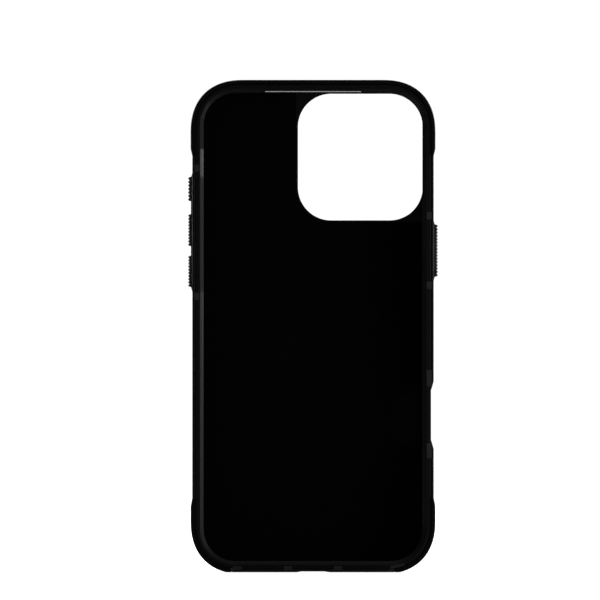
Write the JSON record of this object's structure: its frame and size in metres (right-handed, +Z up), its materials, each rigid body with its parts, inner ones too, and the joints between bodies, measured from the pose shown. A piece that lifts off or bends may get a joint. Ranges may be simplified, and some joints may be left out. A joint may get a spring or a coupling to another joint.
{
  "type": "phone case",
  "caption": "Protective phone case: hard smoke shell over a soft tray with a front lip, corner bumpers, camera guard, magnet ring and ribbed push buttons.",
  "frame": {"origin": "middle of the case's bounding box in plan, at the height of the flat bottom edge that it stands on", "axes": "+Z up, towards the top of the phone; -Y out of the open screen side; +X to the right as the screen side is seen"},
  "size_m": [0.0788, 0.0144, 0.1552],
  "materials": {
    "tray_tpu": "fine matt soft-touch",
    "smoke_polycarbonate": "satin smoke tint",
    "bumper_tpu": "matt with a fine spark-eroded grain",
    "guard_polycarbonate": "semi-gloss",
    "button_polycarbonate": "satin, ribbed",
    "plunger_tpu": "matt",
    "lining_microfibre": "short brushed nap",
    "carrier_plastic": "matt",
    "magnet_nickel": "bright nickel plate"
  },
  "bodies": {
    "case": {"soft_tray": "tray_tpu", "hard_shell": "smoke_polycarbonate", "top_bumper": "bumper_tpu", "bottom_left_bumper": "bumper_tpu", "bottom_right_bumper": "bumper_tpu", "left_button_surround": "bumper_tpu", "right_button_surround": "bumper_tpu", "camera_guard": "guard_polycarbonate", "back_lining": "lining_microfibre", "magnet_carrier": "carrier_plastic", "magnet_01": "magnet_nickel", "magnet_02": "magnet_nickel", "magnet_03": "magnet_nickel", "magnet_04": "magnet_nickel", "magnet_05": "magnet_nickel", "magnet_06": "magnet_nickel", "magnet_07": "magnet_nickel", "magnet_08": "magnet_nickel", "magnet_09": "magnet_nickel", "magnet_10": "magnet_nickel", "magnet_11": "magnet_nickel", "magnet_12": "magnet_nickel", "magnet_13": "magnet_nickel", "magnet_14": "magnet_nickel", "magnet_15": "magnet_nickel", "magnet_16": "magnet_nickel", "magnet_17": "magnet_nickel", "magnet_18": "magnet_nickel", "alignment_magnet": "magnet_nickel"},
    "action_push": {"action_button": "button_polycarbonate", "action_button_plunger": "plunger_tpu"},
    "volume_up_push": {"volume_up_button": "button_polycarbonate", "volume_up_button_plunger": "plunger_tpu"},
    "volume_down_push": {"volume_down_button": "button_polycarbonate", "volume_down_button_plunger": "plunger_tpu"},
    "side_push": {"side_button": "button_polycarbonate", "side_button_plunger": "plunger_tpu"}
  },
  "joints": [
    {"name": "action_press", "type": "slide", "parent": "case", "child": "action_push", "axis": [1, 0, 0], "range_m": [0, 0.0004], "stiffness_N_per_m": 600},
    {"name": "volume_up_press", "type": "slide", "parent": "case", "child": "volume_up_push", "axis": [1, 0, 0], "range_m": [0, 0.0004], "stiffness_N_per_m": 600},
    {"name": "volume_down_press", "type": "slide", "parent": "case", "child": "volume_down_push", "axis": [1, 0, 0], "range_m": [0, 0.0004], "stiffness_N_per_m": 600},
    {"name": "side_press", "type": "slide", "parent": "case", "child": "side_push", "axis": [-1, 0, 0], "range_m": [0, 0.0004], "stiffness_N_per_m": 600}
  ]
}
